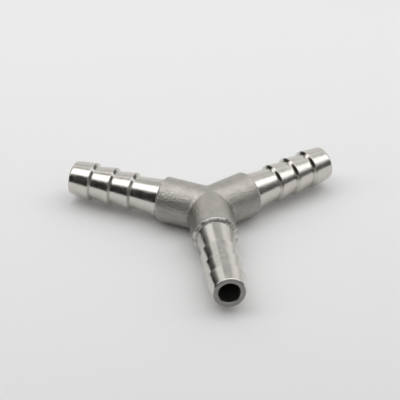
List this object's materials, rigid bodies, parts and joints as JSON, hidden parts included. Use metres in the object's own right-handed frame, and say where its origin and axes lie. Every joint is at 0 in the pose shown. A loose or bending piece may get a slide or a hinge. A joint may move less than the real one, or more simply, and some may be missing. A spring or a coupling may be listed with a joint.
{
  "type": "tubing y connector",
  "caption": "Three-way stainless steel hose-barb connector with equal bored legs at 120 degrees and a satin cast hub.",
  "frame": {"origin": "the point where the three bore axes meet, which is also the centre of mass", "axes": "+Z is the threefold axis and points up as the fitting lies flat; -Y points along the front leg; the other two legs lie at 30 and 150 degrees from +X"},
  "size_m": [0.0588, 0.051, 0.01],
  "materials": {
    "stainless_steel": "satin blasted hub, bright turned necks and barbs"
  },
  "bodies": {
    "root": {"connector_body": "stainless_steel"}
  },
  "joints": []
}
